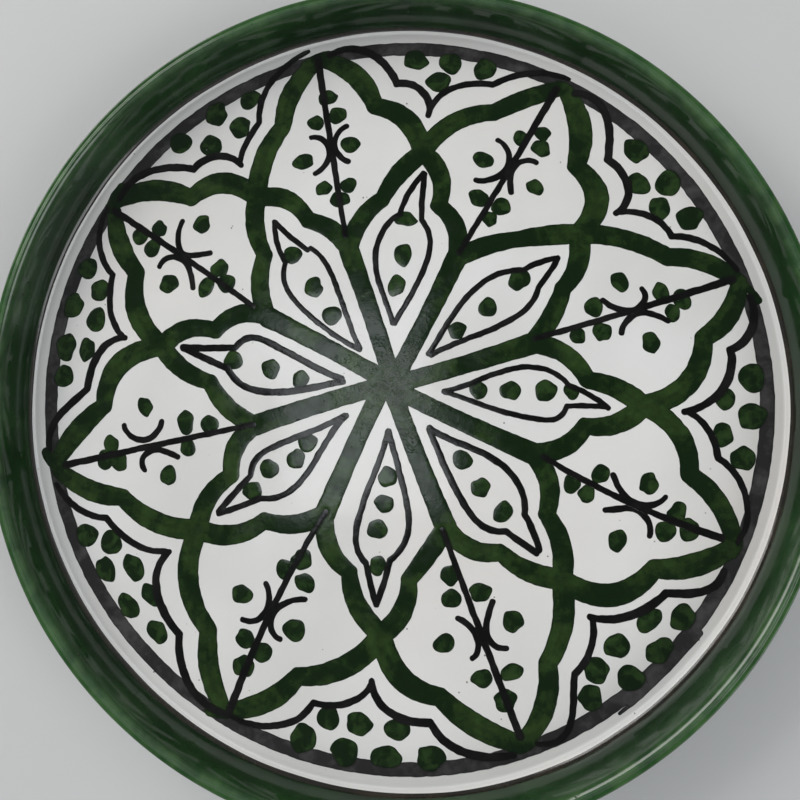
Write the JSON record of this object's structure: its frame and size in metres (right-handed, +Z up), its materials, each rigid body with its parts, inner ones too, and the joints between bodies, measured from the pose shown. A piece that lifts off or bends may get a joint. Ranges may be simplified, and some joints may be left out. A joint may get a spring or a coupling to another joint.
{
  "type": "decorated plate",
  "caption": "Hand painted earthenware plate with a green glazed upright rim, a white glazed face and a radial motif of interlaced green bands, black line drawing and green dots.",
  "frame": {"origin": "middle of the foot, on the surface that the plate stands on", "axes": "+Z up out of the dish, +X to the right of the motif and +Y to its top"},
  "size_m": [0.2, 0.2, 0.0203],
  "materials": {
    "clay": "bare fired earthenware, matt",
    "white_glaze": "opaque tin white glaze, glossy",
    "green_glaze": "copper green glaze, glossy",
    "back_glaze": "thin cream glaze over clay, glossy",
    "manganese_line": "thin dark brown line under gloss",
    "green_paint": "hand brushed copper green, glossy",
    "black_paint": "hand brushed manganese black, glossy",
    "grey_paint": "banded charcoal grey, glossy"
  },
  "bodies": {
    "root": {"clay_body": "clay", "white_glaze": "white_glaze", "rim_line": "manganese_line", "rim_glaze": "green_glaze", "back_glaze": "back_glaze", "petal_bands": "green_paint", "leaf_dots": "green_paint", "petal_dots": "green_paint", "border_dots": "green_paint", "leaf_midribs": "black_paint", "leaf_sprigs": "black_paint", "petal_outlines": "black_paint", "border_scallops": "black_paint", "border_band": "grey_paint"}
  },
  "joints": []
}
